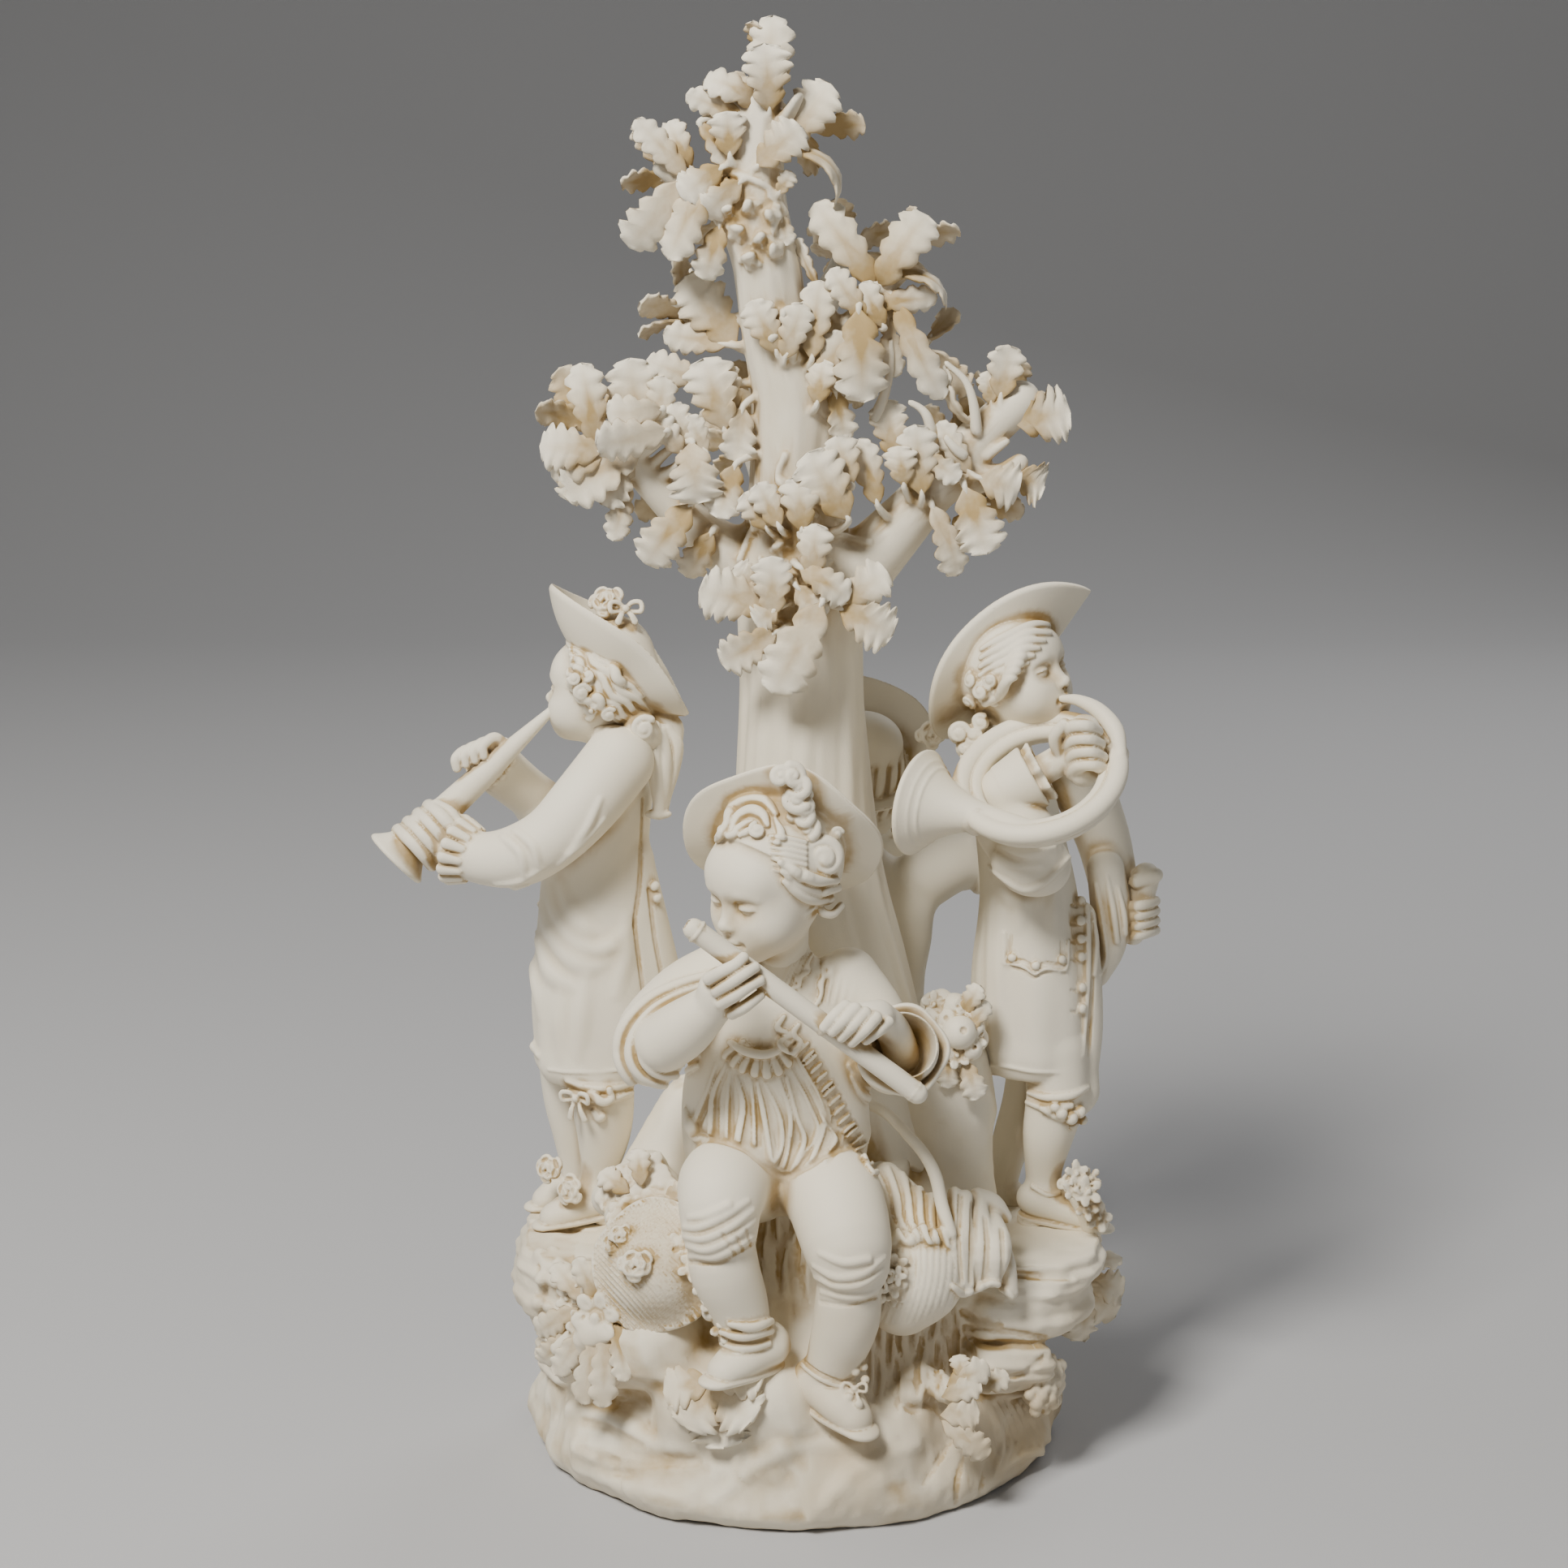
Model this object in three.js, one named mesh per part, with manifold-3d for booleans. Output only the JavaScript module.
// Bisque figure group: four young musicians round an oak, cast in one piece with a rocky plinth.
// Millimetres, +Z up. The origin is the centre of the flat underside, and the front faces -Y.
import * as THREE from 'three';
import { mergeVertices } from 'three/addons/utils/BufferGeometryUtils.js';
import Module from 'manifold-3d';

const wasm = await Module();
wasm.setup();

const V = (x, y, z) => new THREE.Vector3(x, y, z);
const TURN = Math.PI * 2;
const deg = THREE.MathUtils.degToRad;
const UP = V(0, 0, 1);

// Plinth: the outline's radius at each height, towards a ledge, an apron and a corner
const ROCK = {
  sides: 40,
  heights: [0, 4, 13, 26, 37, 46, 56, 66, 78, 87, 90],
  ledge: [70.5, 73, 72, 66, 62, 60, 56, 40, 33, 27, 20],
  apron: [64.5, 67.5, 66, 60, 53, 45, 41, 38.5, 36, 33, 20],
  corner: [66, 68.5, 67, 60, 54, 50, 47, 42, 36, 30, 20],
  roughness: 1.4,
};
// Bedded slabs under the two standing players, and boulders, as [x, y, z, half length, half width, fluting]
const SLABS = [
  [[-50, 0, 22, 20, 27, 0.03], [-51, 0, 38, 20.5, 28, 0.03], [-52, 0, 42, 22.5, 29, 0.03],
    [-52, 0, 56, 22.5, 29, 0.03], [-52, 0, 60.5, 21, 27, 0.03]],
  [[48, -4, 24, 20, 29, 0.03], [50, -4, 37, 21, 30, 0.03], [52, -4, 40, 25, 32, 0.03],
    [54, -4, 52, 26, 33, 0.03], [56, -3, 56, 27.5, 33, 0.03], [56, -3, 61, 26, 31, 0.03]],
  [[41, -6, 60, 15, 13, 0], [41, -6, 82, 13, 11, 0], [40, -6, 100, 14, 12, 0], [39, -6, 116, 11.5, 10, 0]],
  [[-36, -9, 58, 14, 17, 0], [-36, -11, 74, 13, 16, 0], [-32, -9, 86, 11, 13, 0], [-24, -2, 102, 9, 9, 0]],
];
const BOULDERS = [
  { path: [[-24, -50, 28], [-4, -54, 32]], radii: [12, 11] },
  { path: [[8, -48, 18], [24, -48, 20]], radii: [13, 12] },
  { path: [[-46, -36, 40], [-36, -44, 44]], radii: [13, 12] },
  { path: [[24, 48, 24], [36, 44, 28]], radii: [13, 12] },
  { path: [[-8, 50, 28], [6, 52, 30]], radii: [12, 11] },
];

// The fused surface is thinned to this many triangles, and heads keep more of them than the rest
const THIN = { triangles: 9900, lengthCost: 0.002, turn: 0.3, sliver: 0.02, headReach: 19, headWeight: 5 };
const MERGE = 1e-4;

// Oak: stations of the trunk from the root flare to the tip, then the boughs
const TRUNK = {
  sides: 18,
  ridges: 7,
  ridgeDepth: 0.07,
  stations: [
    [12, 4, 84, 30], [9, 5, 108, 27], [6.5, 6, 133, 23.5], [3.5, 6, 160, 19.8], [2.5, 6, 185, 17.6],
    [2, 6, 207, 16.2], [1, 6, 236, 15.5], [0, 5, 252, 12.5], [-0.2, 4, 268, 11.2],
    [0.2, 4, 284, 11.4], [-4.5, 2, 302, 9.2], [-7.5, 0, 320, 8.4], [-10.4, 0, 338, 7.8],
    [-10, 0, 352, 7.2], [-8, 0, 364, 5],
  ],
};
const BOUGHS = [
  { path: [[-6, 5, 236], [-27, 4, 252], [-47, 0, 274]], radii: [8.5, 5.5, 3.6] },
  { path: [[10, 5, 232], [30, 4, 254], [44, 4, 270], [57, 4, 282]], radii: [10, 7, 5.4, 4.2] },
  { path: [[0, 2, 292], [16, -6, 306], [30, -8, 322]], radii: [5.5, 3.6, 2.4] },
  { path: [[2, 6, 300], [10, 24, 312], [14, 36, 322]], radii: [5.5, 3.6, 2.4] },
  { path: [[0, 8, 240], [-6, 32, 256], [-12, 46, 268]], radii: [8, 5, 3.2] },
];

// Oak leaves: each spray has a centre, a reach, a count and the way it leans
const LEAF = { length: 16.5, width: 12.5, thick: 1.6, lobes: 3, notch: 0.5 };
const SPRAYS = [
  { at: [-7.5, 0, 369], reach: 6, count: 4, lean: [0, -0.2, 1] },
  { at: [-12, -6, 353], reach: 8, count: 4, lean: [-0.2, -1, 0.2] },
  { at: [4, -2, 352], reach: 8, count: 3, lean: [1, -0.5, 0] },
  { at: [-29, -3, 340], reach: 11, count: 6, lean: [-0.9, -0.5, 0] },
  { at: [-10, -8, 329], reach: 5, count: 3, lean: [0, -1, -0.2] },
  { at: [-26, 7, 304], reach: 8, count: 4, lean: [-0.9, -0.2, 0.5] },
  { at: [13, -5, 321], reach: 7, count: 4, lean: [0.2, -0.8, 0.7] },
  { at: [28, -4, 322], reach: 8, count: 4, lean: [0.9, -0.4, 0.3] },
  { at: [18, -9, 300], reach: 9, count: 4, lean: [0.2, -0.9, -0.4] },
  { at: [32, -4, 296], reach: 8, count: 3, lean: [0.9, -0.3, -0.5] },
  { at: [-53, -2, 277], reach: 11, count: 6, lean: [-0.9, -0.4, 0.1] },
  { at: [-40, -5, 284], reach: 9, count: 4, lean: [-0.2, -0.6, 0.8] },
  { at: [-26, -5, 282], reach: 9, count: 4, lean: [0.2, -0.9, 0.4] },
  { at: [-31, -7, 259], reach: 9, count: 4, lean: [-0.3, -0.7, -0.7] },
  { at: [54, 0, 287], reach: 8, count: 4, lean: [0.5, -0.2, 0.8] },
  { at: [64, 0, 278], reach: 7, count: 3, lean: [1, -0.2, -0.1] },
  { at: [37, -4, 275], reach: 8, count: 4, lean: [-0.2, -0.8, 0.6] },
  { at: [47, -5, 262], reach: 9, count: 4, lean: [0.5, -0.7, -0.6] },
  { at: [0, -13, 264], reach: 9, count: 5, lean: [0, -1, 0.3] },
  { at: [-15, -15, 241], reach: 9, count: 4, lean: [-0.6, -0.8, -0.2] },
  { at: [3, -18, 244], reach: 8, count: 4, lean: [0.1, -1, -0.2] },
  { at: [17, -13, 234], reach: 8, count: 3, lean: [0.6, -0.7, -0.5] },
  { at: [-4, -18, 226], reach: 8, count: 3, lean: [-0.2, -0.8, -0.8] },
  { at: [13, 34, 318], reach: 9, count: 4, lean: [0.2, 1, 0.4] },
  { at: [-12, 45, 266], reach: 11, count: 5, lean: [-0.2, 1, 0.2] },
  { at: [4, 22, 238], reach: 8, count: 3, lean: [0.2, 1, -0.3] },
];

// A hat's crown as shares of its radius, and the thickness of its brim
const HAT = { inner: 0.46, height: 0.42, wall: 1.7, sides: 18 };

// Each figure is a set of stations and joints. Torso stations are [x, y, z, half depth, half width, fold].
// A limb is a path through its joints with a radius at each one.
const SEATED_FRONT = {
  facing: -90,
  torso: [
    [-5, -27, 84, 15, 23, 0], [-5, -31, 92, 16, 24.5, 0.03], [-5, -32, 101, 15.5, 24, 0.04],
    [-5, -33, 113, 14, 21.5, 0.03], [-4, -34, 125, 13, 21, 0], [-3, -34, 135, 11, 21, 0],
    [-2, -35, 141, 8, 15, 0], [-2, -37, 147, 6, 6.5, 0],
  ],
  folds: 11,
  neck: { path: [[-2, -36, 140], [-5, -40, 156]], radii: [7, 6.5] },
  head: { at: [-6.5, -43, 165.5], radii: [14.5, 13, 17], facing: -118, tip: -12 },
  hat: {
    at: [-4, -36, 174.5], crown: [0.12, 0.78, 0.6], front: [-0.1, -0.6, 0.79], radius: 25.5, dish: 3, lift: 2,
  },
  curls: [[8, -44, 168, 5.5], [9, -40, 161, 5], [-15, -53, 178, 4.2], [-3, -52, 181, 4.5], [6, -47, 177, 5]],
  limbs: [
    { path: [[-19, -34, 138], [-31, -38, 128], [-37, -46, 119]], radii: [9, 10, 10.5] },
    { path: [[-37, -47, 120], [-28, -54, 130], [-19, -61, 141]], radii: [9.5, 6.2, 4.6] },
    { path: [[15, -33, 137], [23, -37, 126], [28, -44, 112]], radii: [9, 9.5, 9.5] },
    { path: [[28, -45, 112], [29, -52, 119], [28, -57, 124]], radii: [9, 9.5, 10.5] },
    { path: [[24, -56, 124], [14, -62, 135]], radii: [5, 4.6] },
    { path: [[-13, -34, 91], [-19, -48, 89], [-20, -58, 83], [-20, -59, 75]], radii: [13, 12, 10, 7.5] },
    { path: [[-20, -59, 77], [-17, -58, 64], [-12.5, -57, 52]], radii: [7.6, 7.4, 4.6] },
    { path: [[3, -34, 90], [11, -48, 84], [13, -59, 74], [13, -59, 65]], radii: [13, 12, 10.5, 8] },
    { path: [[13, -59, 67], [12, -57, 55], [9, -54, 42]], radii: [7.8, 7.6, 4.8] },
  ],
  shoes: [
    { heel: [-9.5, -57, 46.5], toe: [-21, -67, 45], radius: 4.6 },
    { heel: [6, -54, 37], toe: [18, -66, 29.5], radius: 5 },
  ],
  hands: [[-15, -64, 146, 5.6], [13, -63, 136, 5.6]],
  bows: [[-13, -61, 51, 4.5], [13, -59, 40, 4.5], [2, -52, 184, 6]],
};
const PIPER_LEFT = {
  facing: 168,
  torso: [
    [-54.5, 2, 103.5, 16, 14.5, 0.08], [-53, 2, 116, 18, 15.5, 0.08], [-52.5, 3, 130, 18.5, 15, 0.06],
    [-53, 4, 143, 17, 13.5, 0.03], [-53.5, 4, 155, 14, 12, 0], [-51.5, 4, 168, 12.2, 12.5, 0],
    [-49.5, 4, 180, 11.2, 13.5, 0], [-48, 4, 188, 9, 12.5, 0], [-48, 4, 195, 6.5, 6.5, 0],
  ],
  folds: 9,
  neck: { path: [[-48, 4, 190], [-49.5, 4, 199]], radii: [6.5, 6] },
  head: { at: [-51.5, 5, 208], radii: [12, 10.8, 14], facing: 162, tip: 8 },
  hat: {
    at: [-51, 5, 212], crown: [0.69, 0.16, 0.7], front: [-0.71, 0, 0.7], radius: 24.5, dish: 8, lift: 5,
  },
  curls: [[-44, -4, 206, 4], [-47, -5, 212, 4]],
  limbs: [
    { path: [[-46, -7, 186], [-58, -14, 172], [-71, -15, 160]], radii: [8, 8.3, 8.2] },
    { path: [[-71, -15, 160], [-81, -10, 162.5], [-89, -6, 166]], radii: [8, 7, 7.4] },
    { path: [[-87, -6, 165.5], [-97, -2, 170.5]], radii: [4.4, 4.2] },
    { path: [[-51, 14, 185], [-61, 21, 171], [-66, 20, 172]], radii: [7.5, 7, 6.5] },
    { path: [[-66, 20, 172], [-71, 13, 181]], radii: [6, 6.6] },
    { path: [[-71, 12, 181], [-80, 5, 188]], radii: [4, 3.8] },
    { path: [[-51, -1, 112], [-50.5, -2, 97], [-51.5, -2, 84], [-51.7, -2, 68]], radii: [9.5, 7.6, 7, 4.6] },
    { path: [[-58, 11, 112], [-63, 12, 96], [-60.5, 12, 84], [-57.5, 12, 68]], radii: [9, 7.4, 6.6, 4.6] },
    { path: [[-40, 5, 198], [-36, 4, 188], [-34, 4, 174]], radii: [3.4, 3.4, 2.2] },
    { path: [[-37, 6, 145], [-34, 8, 128], [-35, 8, 106]], radii: [6, 8, 7] },
  ],
  shoes: [
    { heel: [-50, -2, 66], toe: [-66, -5, 64.5], radius: 4.8 },
    { heel: [-55, 12, 66], toe: [-71, 10, 64.5], radius: 4.8 },
  ],
  hands: [[-98, -2, 171, 5], [-81, 3, 189, 4.6]],
  bows: [[-39, -2, 198, 4], [-52, -8, 233, 5], [-50.5, -9, 98, 4], [-59, -4, 71, 5.5]],
};
const HORN_RIGHT = {
  facing: 6,
  torso: [
    [66, 1, 106, 15.5, 14.5, 0.08], [65.5, 1, 119, 16.5, 15.5, 0.08], [64.5, 2, 133, 16, 15, 0.06],
    [63.5, 3, 146, 15, 13.5, 0.03], [62, 4, 157, 13.5, 12, 0], [60, 4, 169, 12.2, 12.5, 0],
    [57.5, 4, 181, 11.5, 13.5, 0], [56, 4, 189, 9, 12.5, 0], [56, 4, 195, 6.5, 6.5, 0],
  ],
  folds: 9,
  neck: { path: [[56, 4, 190], [57, 3, 200]], radii: [6.5, 6] },
  head: { at: [60.5, 3, 208.5], radii: [12.5, 11.5, 14.5], facing: -6, tip: -12 },
  hat: {
    at: [61, 7, 213.5], crown: [-0.6, 0.58, 0.55], front: [0.72, 0, 0.7], radius: 26, dish: 4, lift: 2,
  },
  curls: [[51, -7, 203, 4], [53, -8, 209, 4.2], [57, -9, 213, 4]],
  limbs: [
    { path: [[53, -8, 187], [58, -17, 174], [64, -21, 164]], radii: [8.5, 8.8, 8.6] },
    { path: [[64, -21, 164], [69, -19, 174], [73, -17, 183]], radii: [8.4, 7, 6.6] },
    { path: [[72, -17, 182], [76, -15, 193]], radii: [4.4, 4.4] },
    { path: [[64, 14, 184], [77, 18, 170], [85, 16, 158]], radii: [8, 7.6, 7.2] },
    { path: [[85, 16, 158], [88, 14, 149], [92, 12, 145]], radii: [7, 5.4, 4.2] },
    { path: [[66, -1, 114], [70.5, -2, 98], [69.5, -2, 85], [68.3, -2, 68]], radii: [9.5, 7.6, 7, 4.6] },
    { path: [[61, 11, 114], [63.5, 12, 97], [59.5, 13, 84], [57, 14, 68]], radii: [9, 7.4, 6.6, 4.6] },
    { path: [[49, -3, 199], [46, 0, 190], [45, 2, 178]], radii: [3.2, 3.2, 2.2] },
    { path: [[49, 5, 148], [47, 8, 128], [48, 8, 108]], radii: [5, 7, 6] },
  ],
  shoes: [
    { heel: [66.5, -2, 66], toe: [83, -5, 64], radius: 4.8 },
    { heel: [54, 14, 66], toe: [70, 13, 64.5], radius: 4.8 },
  ],
  hands: [[76, -15, 194, 5.2], [93, 11, 145, 5]],
  bows: [[46, -5, 198, 4], [72, -9, 97, 4], [76, -5, 70, 5]],
};
const SEATED_BACK = {
  facing: 84,
  torso: [
    [15, 28, 84, 15, 22, 0], [16, 33, 94, 16, 23, 0.03], [16, 34, 106, 14.5, 20.5, 0.03],
    [17, 34, 120, 13.5, 19.5, 0], [18, 34, 134, 13, 20.5, 0], [18, 35, 144, 11, 20.5, 0],
    [18, 37, 150, 8, 15, 0], [18, 39, 156, 6, 6.5, 0],
  ],
  folds: 11,
  neck: { path: [[18, 39, 150], [18, 42, 163]], radii: [7, 6.5] },
  head: { at: [18, 45, 172], radii: [13, 12, 15.5], facing: 84, tip: -4 },
  hat: {
    at: [19, 38, 183], crown: [0.05, -0.72, 0.69], front: [0, 0.69, 0.72], radius: 22, dish: 3, lift: 2,
  },
  curls: [[7, 46, 172, 4.6], [29, 46, 172, 4.6], [12, 55, 183, 4.4], [22, 56, 183, 4.4]],
  limbs: [
    { path: [[35, 36, 147], [45, 42, 151], [55, 47, 150]], radii: [8.6, 8.4, 8] },
    { path: [[55, 47, 150], [43, 58, 149], [30, 65, 148]], radii: [7.6, 6, 5] },
    { path: [[1, 36, 145], [-9, 43, 134], [-9, 52, 124]], radii: [8.6, 8.4, 8] },
    { path: [[-9, 52, 124], [1, 60, 128], [13, 66, 135]], radii: [7.6, 6, 5] },
    { path: [[23, 34, 91], [29, 47, 88], [30, 57, 79], [30, 58, 70]], radii: [13, 12, 10, 7.5] },
    { path: [[30, 58, 72], [29, 57, 58], [28, 55, 42]], radii: [7.6, 7.2, 4.8] },
    { path: [[8, 34, 91], [4, 47, 90], [2, 58, 84], [2, 59, 75]], radii: [13, 12, 10, 7.5] },
    { path: [[2, 59, 77], [3, 58, 63], [5, 56, 48]], radii: [7.6, 7.2, 4.8] },
  ],
  shoes: [
    { heel: [28, 54, 38], toe: [32, 68, 33], radius: 5 },
    { heel: [5, 55, 43], toe: [0, 69, 39], radius: 5 },
  ],
  hands: [[26, 66, 147, 5.4], [16, 66, 137, 5.4]],
  bows: [[29, 60, 42, 4.5], [4, 61, 47, 4.5]],
};

// Instruments
const FLUTE = { path: [[-26, -67, 163], [30, -67, 120]], radii: [2.6, 2.6] };
const PIPE = { path: [[-64, 2, 203], [-85, 1, 184], [-97, 0, 171.5]], radii: [1.7, 2.5, 3] };
const PIPE_BELL = { from: [-97, 0, 171.5], to: [-106, 0, 162], throat: 2.6, mouth: 7.6, wall: 1.1 };
const HORN_RING = { at: [63, -16, 188], axis: [-0.22, -0.46, 0.86], radius: 20.5, tube: 3.6 };
const HORN_BELL = { from: [50, -24, 177], to: [30, -14, 179], throat: 3, mouth: 11.5, wall: 1.4 };
const HORN_LEAD = { path: [[70, -3, 205], [78, -8, 203], [83, -16, 196]], radii: [2, 2.3, 2.6] };
const MUSIC_ROLL = { path: [[95, 12, 156], [90, 11, 137]], radii: [3.6, 3.4] };
const BACK_PIPE = { path: [[34, 64, 158], [14, 70, 140], [6, 73, 132]], radii: [2, 2.6, 3.6] };

// Plinth furniture: a straw hat, its flowers, a rush bundle, a draped cloth, sprays and loose leaves
const STRAW_HAT = {
  at: [-33, -47, 63], crown: [0.3, 0.88, -0.05], front: [0.6, -0.2, 0.75], radius: 20, dish: 2, lift: 1,
};
const BLOSSOM = { petals: 5, notch: 0.74, stub: 2.6 };
const STEM = { radius: 1.6, depth: 10 };
const BUNDLE = { path: [[28, -38, 66], [35, -44, 60], [38, -48, 50]], radii: [9, 10.5, 9.5] };
const CLOTH = { path: [[26, -30, 92], [33, -34, 78], [44, -37, 67], [52, -38, 57]], radii: [6, 8, 9, 6] };
const FLOWERS = [
  [-46, -29, 76, 5], [-38, -26, 82, 5], [-40, -52, 68, 5], [-24, -55, 69, 4.5], [-21, -57, 61, 4.5],
  [-18, -57, 54, 4.5], [-60, -33, 50, 5], [-53, -42, 42, 5], [-61, -38, 36, 5], [34, -10, 121, 6],
  [42, -15, 116, 6.5], [47, -13, 108, 6], [46, -7, 124, 6], [62, -32, 28, 6], [24, -53, 60, 4.5],
  [-36, 38, 64, 5.5], [44, 40, 62, 5.5],
];
const LOOSE_LEAVES = [
  { at: [-18, -57, 42], along: [-0.1, -0.7, -0.7], facing: [0, -0.7, 0.7], size: 1.2 },
  { at: [-54, -40, 42], along: [-0.1, -0.6, -0.8], facing: [-0.4, -0.8, 0.5], size: 1.2 },
  { at: [-60, -33, 50], along: [-0.7, -0.5, 0.4], facing: [-0.5, -0.8, 0.2], size: 1 },
  { at: [28, -53, 30], along: [0.9, -0.4, 0.1], facing: [0.1, -0.8, 0.6], size: 1.2 },
  { at: [34, -48, 25], along: [0.5, -0.7, -0.5], facing: [0.4, -0.6, 0.7], size: 1.1 },
  { at: [70, 0, 47], along: [0.9, -0.1, 0.1], facing: [0.1, -0.3, 0.9], size: 0.9 },
  { at: [69, -2, 42], along: [0.8, -0.2, -0.6], facing: [0.3, -0.9, 0.3], size: 1 },
  { at: [44, -12, 110], along: [0.4, -0.5, -0.8], facing: [0.2, -0.9, 0.4], size: 0.9 },
  { at: [42, 42, 38], along: [0.4, 0.6, -0.7], facing: [0.4, 0.8, 0.5], size: 1.2 },
  { at: [-30, 46, 38], along: [-0.4, 0.6, -0.7], facing: [-0.2, 0.8, 0.6], size: 1.2 },
];

const people = [SEATED_FRONT, PIPER_LEFT, HORN_RIGHT, SEATED_BACK];

const smooth = (t) => t * t * (3 - 2 * t);
const lerp = THREE.MathUtils.lerp;
const vec = (p) => (p.isVector3 ? p.clone() : V(...p));

// Closes a stack of equal rings with a point at each end
function loft(rings, start, end) {
  const sides = rings[0].length;
  const points = [start, ...rings.flat(), end];
  const at = (i, j) => 1 + i * sides + (j % sides);
  const last = points.length - 1;
  const faces = [];
  for (let j = 0; j < sides; j += 1) {
    faces.push([0, at(0, j + 1), at(0, j)]);
    faces.push([last, at(rings.length - 1, j), at(rings.length - 1, j + 1)]);
    for (let i = 0; i + 1 < rings.length; i += 1) {
      faces.push([at(i, j), at(i, j + 1), at(i + 1, j + 1)]);
      faces.push([at(i, j), at(i + 1, j + 1), at(i + 1, j)]);
    }
  }
  const geometry = new THREE.BufferGeometry().setFromPoints(points);
  geometry.setIndex(faces.flat());
  return facingOut(geometry);
}

// Turns every face over when the enclosed volume comes out negative
function facingOut(geometry) {
  const p = geometry.getAttribute('position');
  const index = Array.from(geometry.getIndex().array);
  const corner = (k) => V(p.getX(index[k]), p.getY(index[k]), p.getZ(index[k]));
  let volume = 0;
  for (let k = 0; k < index.length; k += 3) {
    volume += corner(k).dot(corner(k + 1).cross(corner(k + 2)));
  }
  if (volume < 0) {
    for (let k = 0; k < index.length; k += 3) {
      [index[k + 1], index[k + 2]] = [index[k + 2], index[k + 1]];
    }
    geometry.setIndex(index);
  }
  return geometry;
}

// A rounded limb along a smooth path, with a radius at each joint
function limb({ path, radii, sides = 8, steps = 2, flat = 1 }) {
  const curve = new THREE.CatmullRomCurve3(path.map(vec), false, 'centripetal');
  const spans = path.length - 1;
  const count = spans * steps;
  const rings = [];
  let across = null;
  const ring = (centre, along, radius) => {
    const other = along.clone().cross(across);
    return Array.from({ length: sides }, (_, j) => {
      const a = (TURN * j) / sides;
      return centre.clone()
        .addScaledVector(across, radius * Math.cos(a))
        .addScaledVector(other, radius * flat * Math.sin(a));
    });
  };
  const ends = [];
  for (let i = 0; i <= count; i += 1) {
    const t = i / count;
    const span = Math.min(Math.floor(t * spans), spans - 1);
    const radius = lerp(radii[span], radii[span + 1], smooth(t * spans - span));
    const centre = curve.getPoint(t);
    const along = curve.getTangent(t);
    const seed = across ?? (Math.abs(along.z) > 0.9 ? V(1, 0, 0) : UP.clone());
    across = seed.clone().addScaledVector(along, -seed.dot(along)).normalize();
    if (i === 0) {
      ends.push(centre.clone().addScaledVector(along, -0.8 * radius));
      rings.push(ring(centre.clone().addScaledVector(along, -0.5 * radius), along, 0.78 * radius));
    }
    rings.push(ring(centre, along, radius));
    if (i === count) {
      rings.push(ring(centre.clone().addScaledVector(along, 0.5 * radius), along, 0.78 * radius));
      ends.push(centre.clone().addScaledVector(along, 0.8 * radius));
    }
  }
  return loft(rings, ends[0], ends[1]);
}

// A stack of level ellipses turned to face one way, fluted by a number of folds
function column(stations, facing, folds, sides = 16) {
  const turn = deg(facing);
  const forward = V(Math.cos(turn), Math.sin(turn), 0);
  const side = V(-Math.sin(turn), Math.cos(turn), 0);
  const rings = stations.map(([x, y, z, deep, wide, fold]) => Array.from({ length: sides }, (_, j) => {
    const a = (TURN * j) / sides;
    const flute = 1 + fold * Math.cos(folds * a);
    return V(x, y, z)
      .addScaledVector(forward, deep * flute * Math.cos(a))
      .addScaledVector(side, wide * flute * Math.sin(a));
  }));
  const [first, last] = [stations[0], stations[stations.length - 1]];
  return loft(rings, V(first[0], first[1], first[2]), V(last[0], last[1], last[2]));
}

// Places a shape so that its z axis points one way and its x axis as near as it can to another
function place(geometry, at, zAxis, xAxis) {
  const z = vec(zAxis).normalize();
  const x = vec(xAxis);
  x.addScaledVector(z, -x.dot(z)).normalize();
  const y = z.clone().cross(x);
  const matrix = new THREE.Matrix4().makeBasis(x, y, z).setPosition(...vec(at).toArray());
  return geometry.applyMatrix4(matrix);
}

function ellipsoid(at, radii, up, front, across = 10, down = 7) {
  const ball = new THREE.SphereGeometry(1, across, down).rotateX(Math.PI / 2);
  ball.scale(radii[0], radii[1], radii[2]);
  return place(ball, at, up, front);
}

// A felt or straw hat: a flat ring of brim and a low crown, dished and lifted at its sides
function hat({ at, crown, front, radius, dish, lift }) {
  const inner = radius * HAT.inner;
  const height = radius * HAT.height;
  const profile = [
    [0, 0], [inner, 0], [radius * 0.75, 0], [radius, 0], [radius, HAT.wall], [inner, HAT.wall],
    [inner * 0.85, height * 0.75], [0, height],
  ];
  const shape = new THREE.LatheGeometry(profile.map(([r, h]) => new THREE.Vector2(r, h)), HAT.sides);
  shape.rotateX(Math.PI / 2);
  const p = shape.getAttribute('position');
  for (let i = 0; i < p.count; i += 1) {
    const reach = Math.hypot(p.getX(i), p.getY(i));
    const out = Math.max(0, (reach - inner) / (radius - inner));
    const aside = (p.getY(i) / radius) ** 2;
    p.setZ(i, p.getZ(i) + dish * out * out + lift * aside * out);
  }
  return place(shape, at, crown, front);
}

// A flared mouth, hollow inside, from its throat to its rim
function bell({ from, to, throat, mouth, wall }) {
  const axis = vec(to).sub(vec(from));
  const length = axis.length();
  const flare = (t) => throat + (mouth - throat) * t ** 2.2;
  const outer = [0, 0.35, 0.65, 0.85, 1].map((t) => [flare(t), length * t]);
  const inner = [1, 0.85, 0.6].map((t) => [flare(t) - wall, length * (t === 1 ? 1 : t + 0.04)]);
  const profile = [[0, 0], ...outer, ...inner, [0, length * 0.45]];
  const shape = new THREE.LatheGeometry(profile.map(([r, h]) => new THREE.Vector2(r, h)), 14);
  return place(shape.rotateX(Math.PI / 2), from, axis, UP);
}

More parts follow.
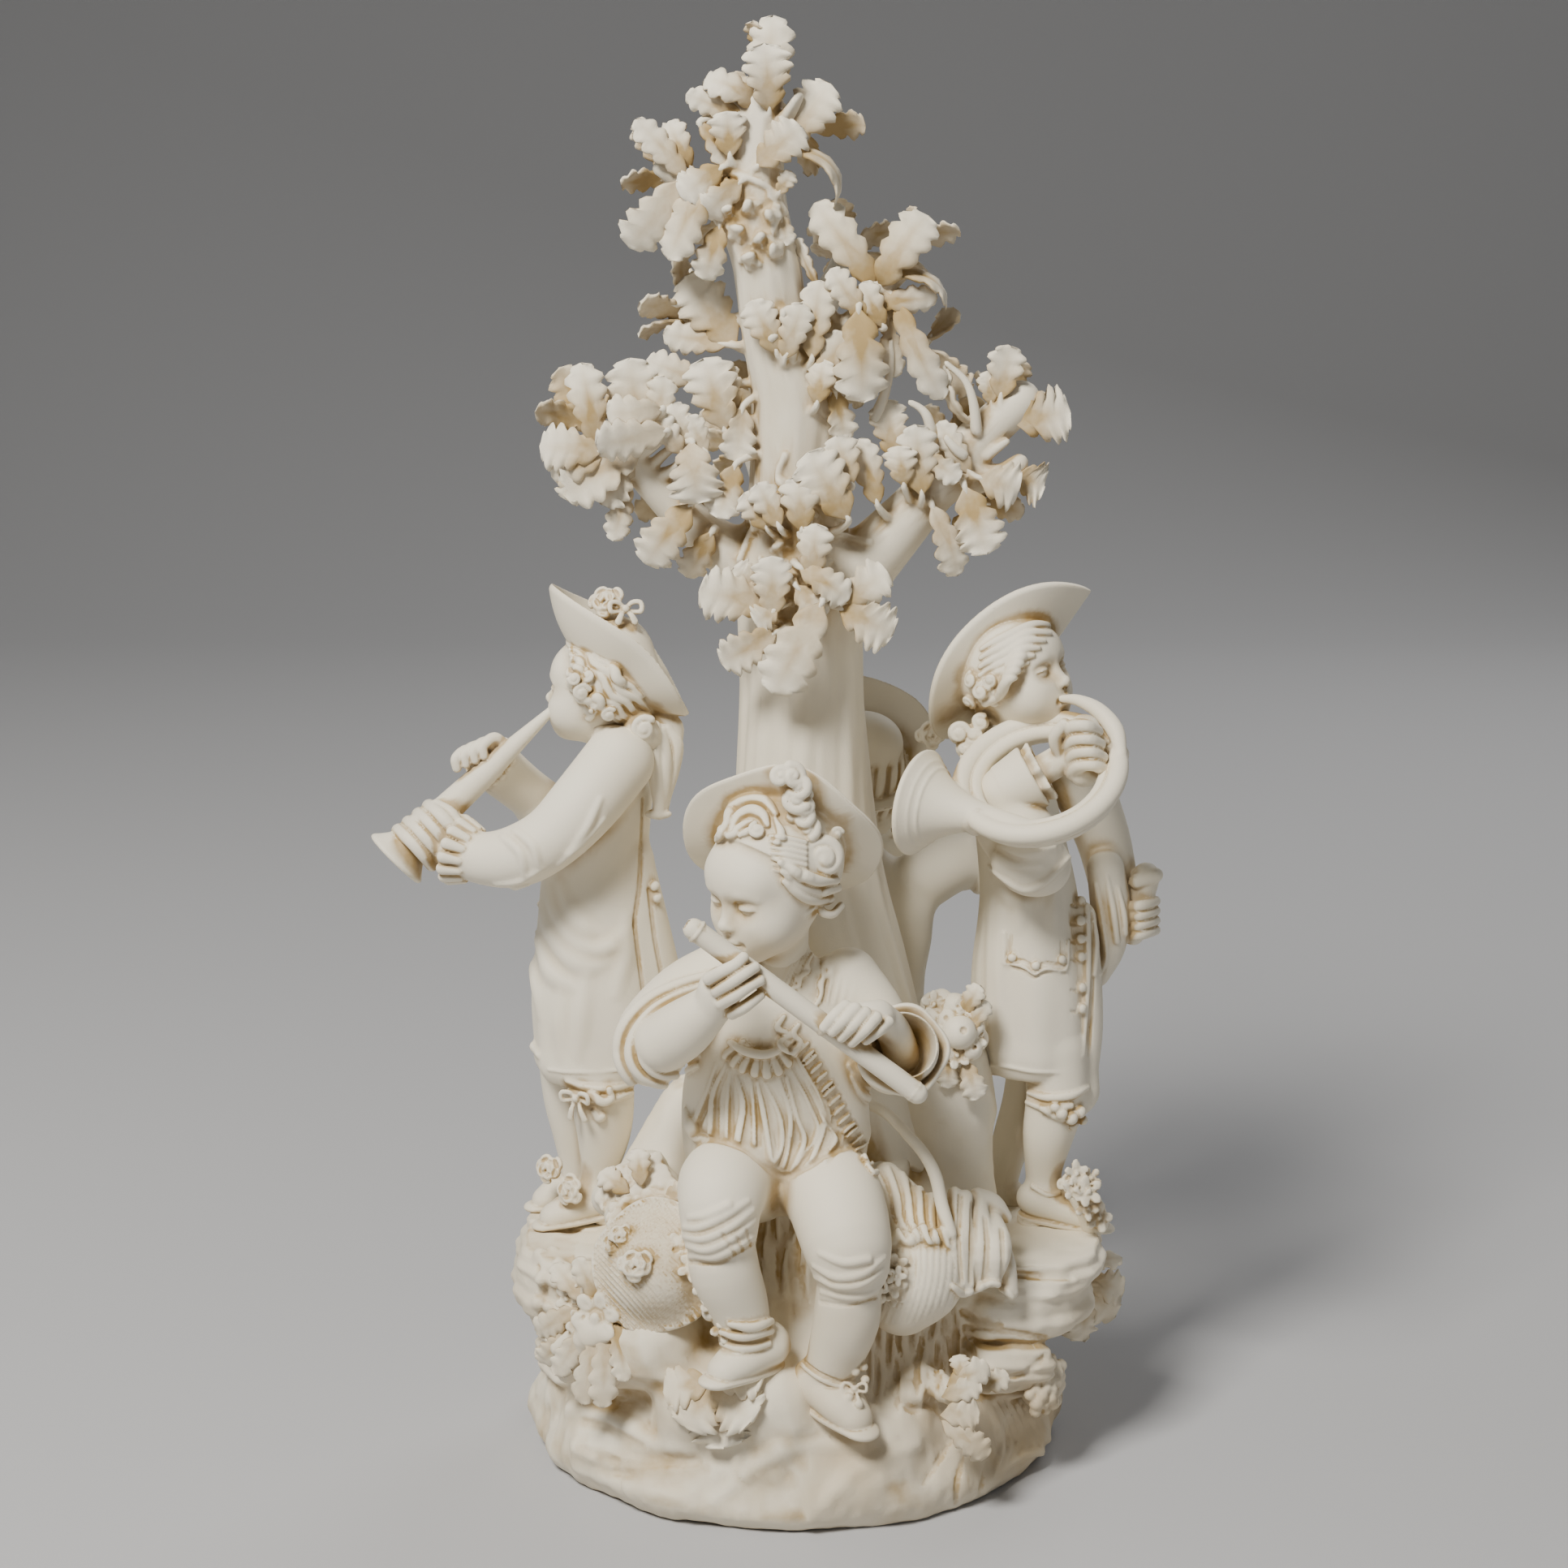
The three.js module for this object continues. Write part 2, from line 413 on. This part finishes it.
// A lobed oak leaf, cut flat, then curled along its length and cupped across it
function leaf({ at, along, facing, size = 1, curl = 0.22, cup = 0.25 }) {
  const length = LEAF.length * size;
  const half = (LEAF.width * size) / 2;
  const steps = LEAF.lobes * 2;
  const edge = [];
  for (let i = 1; i < steps; i += 1) {
    const t = i / steps;
    const swell = Math.sin(Math.PI * t ** 0.8) ** 0.6;
    edge.push([length * (0.1 + 0.86 * t), half * swell * (i % 2 ? 1 : LEAF.notch)]);
  }
  const outline = [[0, 1], ...edge, [length, 0.8]];
  const mirrored = outline.map(([x, y]) => [x, -y]).reverse();
  const shape = new THREE.Shape([...outline, ...mirrored].map(([x, y]) => new THREE.Vector2(x, y)));
  const blade = new THREE.ExtrudeGeometry(shape, { depth: LEAF.thick, bevelEnabled: false });
  const p = blade.getAttribute('position');
  for (let i = 0; i < p.count; i += 1) {
    const bend = -curl * length * (p.getX(i) / length) ** 2 + cup * half * (p.getY(i) / half) ** 2;
    p.setZ(i, p.getZ(i) + bend);
  }
  return place(blade, at, facing, along);
}

// A flower: a domed disc whose rim goes in and out once for each petal, on a stub sunk in the rock
function flower([x, y, z, radius], outward) {
  const points = BLOSSOM.petals * 2;
  const ring = (share, lift) => Array.from({ length: points }, (_, j) => {
    const a = (TURN * j) / points;
    const reach = radius * share * (j % 2 ? BLOSSOM.notch : 1);
    return V(reach * Math.cos(a), reach * Math.sin(a), lift * radius);
  });
  const rings = [ring(0.5, -BLOSSOM.stub), ring(0.55, -0.5), ring(1, 0), ring(0.55, 0.45)];
  const shape = loft(rings, V(0, 0, -BLOSSOM.stub * radius), V(0, 0, 0.3 * radius));
  return place(shape, [x, y, z], outward, V(0.3, 0.2, 1));
}

// A tied bow: two flattened loops either side of a knot
function bow([x, y, z, size], facing) {
  const aside = vec(facing).cross(UP).normalize();
  return [-1, 0, 1].map((hand) => {
    const centre = V(x, y, z).addScaledVector(aside, hand * size * 0.7);
    return ellipsoid(centre, [size * 0.75, size * 0.55, size * 0.6], UP, aside, 6, 4);
  });
}

function shoe({ heel, toe, radius }) {
  const middle = vec(heel).lerp(vec(toe), 0.45);
  return limb({ path: [heel, middle, toe], radii: [radius * 0.86, radius, radius * 0.72], steps: 1 });
}

function head({ at, radii, facing, tip }) {
  const turn = deg(facing);
  const pitch = deg(tip);
  const forward = V(Math.cos(turn) * Math.cos(pitch), Math.sin(turn) * Math.cos(pitch), Math.sin(pitch));
  const side = V(-Math.sin(turn), Math.cos(turn), 0);
  const up = forward.clone().cross(side);
  const [deep, wide, tall] = radii;
  const spot = (f, s, u) => vec(at)
    .addScaledVector(forward, f * deep)
    .addScaledVector(side, s * wide)
    .addScaledVector(up, u * tall);
  return [
    ellipsoid(at, [deep * 0.95, wide * 0.93, tall], up, forward, 12, 9),
    ellipsoid(spot(-0.18, 0, 0.16), [deep * 0.98, wide * 1.06, tall * 0.92], up, forward, 12, 8),
    ellipsoid(spot(0.9, 0, -0.12), [deep * 0.2, wide * 0.16, tall * 0.16], up, forward, 6, 5),
    ellipsoid(spot(0.6, 0, -0.6), [deep * 0.36, wide * 0.5, tall * 0.32], up, forward, 8, 5),
    ...[-1, 1].map((hand) => (
      ellipsoid(spot(0.5, hand * 0.42, -0.3), [deep * 0.4, wide * 0.45, tall * 0.34], up, forward, 8, 5)
    )),
  ];
}

function figure(person) {
  const turn = deg(person.facing);
  const forward = V(Math.cos(turn), Math.sin(turn), 0);
  const side = V(-Math.sin(turn), Math.cos(turn), 0);
  return [
    column(person.torso, person.facing, person.folds),
    limb({ ...person.neck, steps: 1 }),
    ...head(person.head),
    hat(person.hat),
    ...person.curls.map(([x, y, z, r]) => ellipsoid([x, y, z], [r, r, r], UP, forward, 6, 4)),
    ...person.limbs.map((part) => limb(part)),
    ...person.shoes.map(shoe),
    ...person.hands.map(([x, y, z, r]) => ellipsoid([x, y, z], [r, r * 0.8, r], UP, side, 8, 6)),
    ...person.bows.flatMap((knot) => bow(knot, forward)),
  ];
}

// The outline's radius at one height and bearing, from the three profiles
function rockRadius(level, angle) {
  const towards = Math.cos(2 * angle);
  const [side, front, slant] = [Math.max(0, towards), Math.max(0, -towards), Math.abs(Math.sin(2 * angle))];
  const sum = side * ROCK.ledge[level] + front * ROCK.apron[level] + slant * ROCK.corner[level];
  const rough = Math.sin(5 * angle + 1.3 * level) + 0.7 * Math.sin(11 * angle - 2.1 * level);
  const steady = level < 2 ? 0.3 : 1;
  return sum / (side + front + slant) + ROCK.roughness * steady * rough;
}

function rock() {
  const rings = ROCK.heights.map((z, level) => Array.from({ length: ROCK.sides }, (_, j) => {
    const a = (TURN * j) / ROCK.sides;
    const r = rockRadius(level, a);
    return V(r * Math.cos(a), r * Math.sin(a), z);
  }));
  return loft(rings, V(0, 0, 0), V(0, 0, ROCK.heights.at(-1)));
}

function trunk() {
  const rings = TRUNK.stations.map(([x, y, z, radius], i) => Array.from({ length: TRUNK.sides }, (_, j) => {
    const a = (TURN * j) / TRUNK.sides;
    const r = radius * (1 + TRUNK.ridgeDepth * Math.cos(TRUNK.ridges * a + 0.35 * i));
    return V(x + r * Math.cos(a), y + r * Math.sin(a), z);
  }));
  const centre = ([x, y, z]) => V(x, y, z);
  return loft(rings, centre(TRUNK.stations[0]), centre(TRUNK.stations.at(-1)));
}

// The point of the trunk's or a bough's middle line that lies nearest
function nearestWood(target) {
  const lines = [TRUNK.stations.slice(4).map((s) => s.slice(0, 3)), ...BOUGHS.map((b) => b.path)];
  let best = null;
  for (const line of lines) {
    for (let i = 0; i + 1 < line.length; i += 1) {
      const stretch = new THREE.Line3(vec(line[i]), vec(line[i + 1]));
      const near = stretch.closestPointToPoint(target, true, V(0, 0, 0));
      if (!best || near.distanceTo(target) < best.distanceTo(target)) {
        best = near;
      }
    }
  }
  return best;
}

// Leaves open out round the way their spray leans, a golden angle apart, from a knot on a twig
function spray({ at, reach, count, lean }, number) {
  const centre = vec(at);
  const axis = vec(lean).normalize();
  const side = axis.clone().cross(Math.abs(axis.z) > 0.8 ? V(1, 0, 0) : UP).normalize();
  const other = axis.clone().cross(side);
  const golden = deg(137.5);
  const heart = centre.clone().addScaledVector(axis, -0.3 * reach);
  const parts = [
    ellipsoid(centre, [3.4, 3.4, 3.4], UP, V(1, 0, 0), 6, 4),
    limb({ path: [nearestWood(centre), centre], radii: [3, 2.2], sides: 6, steps: 1 }),
  ];
  for (let i = 0; i < count; i += 1) {
    const a = golden * i + number;
    const spread = side.clone().multiplyScalar(Math.cos(a)).addScaledVector(other, Math.sin(a));
    const open = lerp(deg(38), deg(96), (i + 0.5) / count);
    const along = axis.clone().multiplyScalar(Math.cos(open)).addScaledVector(spread, Math.sin(open));
    const facing = axis.clone().multiplyScalar(Math.sin(open)).addScaledVector(spread, -Math.cos(open));
    const start = heart.clone().addScaledVector(spread, reach * 0.14);
    const size = lerp(0.9, 1.15, ((i * 7 + number * 3) % 5) / 4);
    parts.push(leaf({ at: start, along, facing, size, curl: 0.3 }));
  }
  return parts;
}

function solidOf(geometry) {
  const bare = geometry.clone();
  bare.deleteAttribute('normal');
  bare.deleteAttribute('uv');
  const merged = facingOut(mergeVertices(bare, MERGE));
  const p = merged.getAttribute('position').array;
  const triangles = [];
  const index = merged.getIndex().array;
  for (let k = 0; k < index.length; k += 3) {
    const [a, b, c] = [index[k], index[k + 1], index[k + 2]];
    if (a !== b && b !== c && c !== a) {
      triangles.push(a, b, c);
    }
  }
  const mesh = new wasm.Mesh({
    numProp: 3,
    vertProperties: Float32Array.from(p),
    triVerts: Uint32Array.from(triangles),
  });
  return new wasm.Manifold(mesh);
}

// The sum of squared distances to planes, as the ten terms of a symmetric 4 by 4 matrix
function planeTerms(normal, offset, weight) {
  const [a, b, c, d] = [normal.x, normal.y, normal.z, offset];
  return [a * a, a * b, a * c, a * d, b * b, b * c, b * d, c * c, c * d, d * d].map((t) => t * weight);
}

function planeError(q, { x, y, z }) {
  return q[0] * x * x + q[4] * y * y + q[7] * z * z + q[9]
    + 2 * (q[1] * x * y + q[2] * x * z + q[5] * y * z + q[3] * x + q[6] * y + q[8] * z);
}

// The point with the least error, or null where the planes don't settle one
function bestPoint(q) {
  const matrix = new THREE.Matrix3().set(q[0], q[1], q[2], q[1], q[4], q[5], q[2], q[5], q[7]);
  const scale = Math.abs(q[0]) + Math.abs(q[4]) + Math.abs(q[7]);
  if (Math.abs(matrix.determinant()) < 1e-4 * scale ** 3) {
    return null;
  }
  return V(-q[3], -q[6], -q[8]).applyMatrix3(matrix.invert());
}

// Items in the order of their cost, the least first
class Queue {
  items = [];

  lower(i, j) {
    return this.items[i].cost < this.items[j].cost;
  }

  swap(i, j) {
    [this.items[i], this.items[j]] = [this.items[j], this.items[i]];
  }

  push(item) {
    this.items.push(item);
    for (let i = this.items.length - 1; i > 0;) {
      const parent = (i - 1) >> 1;
      if (!this.lower(i, parent)) {
        break;
      }
      this.swap(i, parent);
      i = parent;
    }
  }

  pop() {
    this.swap(0, this.items.length - 1);
    const item = this.items.pop();
    for (let i = 0; ;) {
      let least = i;
      [2 * i + 1, 2 * i + 2].forEach((child) => {
        if (child < this.items.length && this.lower(child, least)) {
          least = child;
        }
      });
      if (least === i) {
        return item;
      }
      this.swap(i, least);
      i = least;
    }
  }
}

// Thins a closed mesh to a number of triangles by closing up its least important edges.
// An edge closes only where the surface stays closed and no face turns over. The underside stays flat.
function thinned(points, faces, target, weightAt) {
  const terms = points.map(() => new Array(10).fill(0));
  const around = points.map(() => new Set());
  const normalOf = (a, b, c) => b.clone().sub(a).cross(c.clone().sub(a));
  const alive = faces.map(() => true);
  const grounded = points.map((p) => Math.abs(p.z) < 1e-6);
  faces.forEach(([a, b, c], f) => {
    const normal = normalOf(points[a], points[b], points[c]);
    const area = normal.length();
    if (area > 0) {
      normal.divideScalar(area);
      const plane = planeTerms(normal, -normal.dot(points[a]), area);
      [a, b, c].forEach((v) => plane.forEach((t, k) => { terms[v][k] += t; }));
    }
    [a, b, c].forEach((v) => around[v].add(f));
  });
  const neighbours = (v) => {
    const found = new Set();
    around[v].forEach((f) => faces[f].forEach((w) => found.add(w)));
    found.delete(v);
    return found;
  };
  const stamp = points.map(() => 0);
  const queue = new Queue();
  const propose = (a, b) => {
    const sum = terms[a].map((t, k) => t + terms[b][k]);
    const middle = points[a].clone().lerp(points[b], 0.5);
    const span = points[a].distanceTo(points[b]);
    const level = grounded[a] === grounded[b];
    const choices = level ? [points[a], points[b], middle] : [points[grounded[a] ? a : b]];
    const best = bestPoint(sum);
    if (best && !grounded[a] && !grounded[b] && best.distanceTo(middle) < 2 * span) {
      choices.push(best);
    }
    const costs = choices.map((p) => planeError(sum, p));
    const pick = costs.indexOf(Math.min(...costs));
    const cost = (Math.max(costs[pick], 0) + THIN.lengthCost * span * span) * weightAt(middle);
    queue.push({ a, b, cost, at: choices[pick].clone(), stamps: [stamp[a], stamp[b]] });
  };
  points.forEach((_, v) => {
    [...neighbours(v)].filter((w) => v < w).forEach((w) => propose(v, w));
  });
  let count = faces.length;
  while (count > target && queue.items.length) {
    const { a, b, at, stamps } = queue.pop();
    if (stamp[a] !== stamps[0] || stamp[b] !== stamps[1]) {
      continue;
    }
    const shared = [...around[a]].filter((f) => around[b].has(f));
    const common = [...neighbours(a)].filter((v) => neighbours(b).has(v));
    const turns = (v) => [...around[v]].some((f) => {
      if (shared.includes(f)) {
        return false;
      }
      const before = faces[f].map((w) => points[w]);
      const after = faces[f].map((w) => (w === v ? at : points[w]));
      const [old, fresh] = [normalOf(...before), normalOf(...after)];
      const edge = Math.max(...after.map((p, k) => p.distanceToSquared(after[(k + 1) % 3])));
      const turned = old.dot(fresh) < THIN.turn * old.length() * fresh.length();
      return turned || fresh.length() < THIN.sliver * edge;
    });
    if (shared.length !== 2 || common.length !== 2 || turns(a) || turns(b)) {
      continue;
    }
    shared.forEach((f) => {
      alive[f] = false;
      faces[f].forEach((v) => around[v].delete(f));
    });
    around[b].forEach((f) => {
      faces[f] = faces[f].map((v) => (v === b ? a : v));
      around[a].add(f);
    });
    around[b].clear();
    points[a] = at;
    grounded[a] = grounded[a] || grounded[b];
    terms[a] = terms[a].map((t, k) => t + terms[b][k]);
    stamp[a] += 1;
    stamp[b] += 1;
    count -= 2;
    neighbours(a).forEach((v) => propose(a, v));
  }
  return faces.filter((_, f) => alive[f]);
}

function fuse(geometries) {
  const whole = wasm.Manifold.union(geometries.map(solidOf));
  const mesh = whole.getMesh();
  const points = [];
  for (let i = 0; i < mesh.vertProperties.length; i += mesh.numProp) {
    points.push(V(...mesh.vertProperties.slice(i, i + 3)));
  }
  const faces = [];
  for (let k = 0; k < mesh.triVerts.length; k += 3) {
    faces.push(Array.from(mesh.triVerts.slice(k, k + 3)));
  }
  const heads = people.map((person) => vec(person.head.at));
  const weightAt = (p) => (heads.some((at) => at.distanceTo(p) < THIN.headReach) ? THIN.headWeight : 1);
  const kept = thinned(points, faces, THIN.triangles, weightAt);
  const geometry = new THREE.BufferGeometry().setFromPoints(points);
  geometry.setIndex(kept.flat());
  const bare = mergeVertices(geometry.toNonIndexed(), MERGE);
  bare.computeVertexNormals();
  return bare;
}

function plinth() {
  const outward = ([x, y]) => V(x, y, 12).normalize();
  const stem = ({ at }) => {
    const root = vec(at).addScaledVector(outward(at), -STEM.depth);
    return limb({ path: [at, root], radii: [STEM.radius, STEM.radius], sides: 6, steps: 1 });
  };
  return [
    rock(),
    ...SLABS.map((slab) => column(slab, 0, 9)),
    ...BOULDERS.map((stone) => limb({ ...stone, steps: 1, sides: 10 })),
    hat(STRAW_HAT),
    limb({ ...BUNDLE, sides: 12 }),
    limb({ ...CLOTH, sides: 10, flat: 0.7 }),
    ...FLOWERS.map((spot) => flower(spot, outward(spot))),
    ...LOOSE_LEAVES.flatMap((blade) => [leaf(blade), stem(blade)]),
  ];
}

function oak() {
  return [
    trunk(),
    ...BOUGHS.map((bough) => limb(bough)),
    ...SPRAYS.flatMap((bunch, number) => spray(bunch, number)),
  ];
}

function instruments() {
  const ring = new THREE.TorusGeometry(HORN_RING.radius, HORN_RING.tube, 8, 24);
  return [
    limb({ ...FLUTE, steps: 1 }),
    limb({ ...PIPE, steps: 1 }),
    bell(PIPE_BELL),
    place(ring, HORN_RING.at, HORN_RING.axis, V(1, 0, 0.3)),
    bell(HORN_BELL),
    limb({ ...HORN_LEAD, steps: 2 }),
    limb({ ...MUSIC_ROLL, steps: 1 }),
    limb({ ...BACK_PIPE, steps: 1 }),
  ];
}

const bisque = new THREE.MeshStandardMaterial({ color: 0xe9e4d6, roughness: 0.62, metalness: 0 });
bisque.name = 'bisque';

const pieces = [...plinth(), ...oak(), ...people.flatMap(figure), ...instruments()];

const group = new THREE.Group();
const figures = new THREE.Mesh(fuse(pieces), bisque);
figures.name = 'figure_group';
group.add(figures);

export default group;
